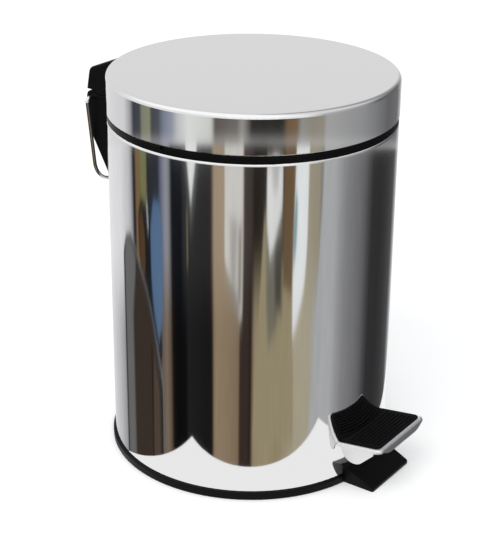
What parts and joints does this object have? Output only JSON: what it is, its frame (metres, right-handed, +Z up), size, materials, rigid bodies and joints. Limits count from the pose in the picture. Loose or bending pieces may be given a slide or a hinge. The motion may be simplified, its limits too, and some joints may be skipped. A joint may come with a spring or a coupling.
{
  "type": "pedal bin",
  "caption": "Round steel waste bin with a foot pedal that lifts the hinged lid, a plastic inner bucket and a wire carry handle at the rear.",
  "frame": {"origin": "on the floor, on the axis of the round body", "axes": "+Z up, -Y to the front where the pedal is, +Y to the lid hinge at the rear, +X to the right of a viewer who stands in front of the pedal"},
  "size_m": [0.2084, 0.2633, 0.2838],
  "materials": {
    "mirror_steel": "bright polished stainless steel sheet",
    "satin_steel": "satin stainless steel sheet",
    "plain_steel": "plain pressed and drawn steel",
    "chromed_wire": "chromed steel wire",
    "black_trim": "moulded black polypropylene, satin",
    "bucket_plastic": "moulded black polypropylene, matt",
    "pedal_rubber": "ribbed black rubber, matt"
  },
  "bodies": {
    "bin_body": {"body_shell": "mirror_steel", "top_collar": "black_trim", "base_pan": "black_trim", "body_hinge_housing": "black_trim", "body_backing_plate": "plain_steel", "housing_screws": "plain_steel", "hinge_pin": "plain_steel", "rod_guides": "plain_steel", "lever_pivot_pin": "plain_steel", "pivot_clips": "plain_steel"},
    "lid": {"lid_shell": "satin_steel", "lid_hinge_housing": "black_trim", "lid_backing_plate": "plain_steel", "lid_screws": "plain_steel"},
    "pedal": {"pedal_tray": "mirror_steel", "pedal_pad": "pedal_rubber", "pedal_lever": "plain_steel", "lever_rivets": "plain_steel"},
    "lift_rod": {"lift_rod": "plain_steel", "rod_push_nuts": "plain_steel"},
    "carry_handle": {"carry_handle": "chromed_wire"},
    "bucket": {"inner_bucket": "bucket_plastic"},
    "bucket_handle": {"bucket_handle": "chromed_wire"}
  },
  "joints": [
    {"name": "lid_hinge", "type": "hinge", "parent": "bin_body", "child": "lid", "pos_m": [0, 0.1242, 0.2482], "axis": [-1, 0, 0], "range_deg": [0, 75]},
    {"name": "pedal_press", "type": "hinge", "parent": "bin_body", "child": "pedal", "pos_m": [0, -0.062, 0.015], "axis": [1, 0, 0], "range_deg": [0, 6.79]},
    {"name": "rod_lift", "type": "slide", "parent": "bin_body", "child": "lift_rod", "axis": [0, 0, 1], "range_m": [0, 0.01844]},
    {"name": "handle_swing", "type": "hinge", "parent": "bin_body", "child": "carry_handle", "pos_m": [0, 0.1242, 0.2482], "axis": [1, 0, 0], "range_deg": [0, 130]},
    {"name": "bucket_lift", "type": "slide", "parent": "bin_body", "child": "bucket", "axis": [0, 0, 1], "range_m": [0, 0.008]},
    {"name": "bucket_handle_swing", "type": "hinge", "parent": "bucket", "child": "bucket_handle", "pos_m": [0, 0, 0.2588], "axis": [-1, 0, 0], "range_deg": [0, 9]}
  ],
  "couplings": [
    {"joint": "pedal_press", "follows": "lid_hinge", "ratio": 0.0904},
    {"joint": "rod_lift", "follows": "lid_hinge", "m_per_rad": 0.014069}
  ]
}
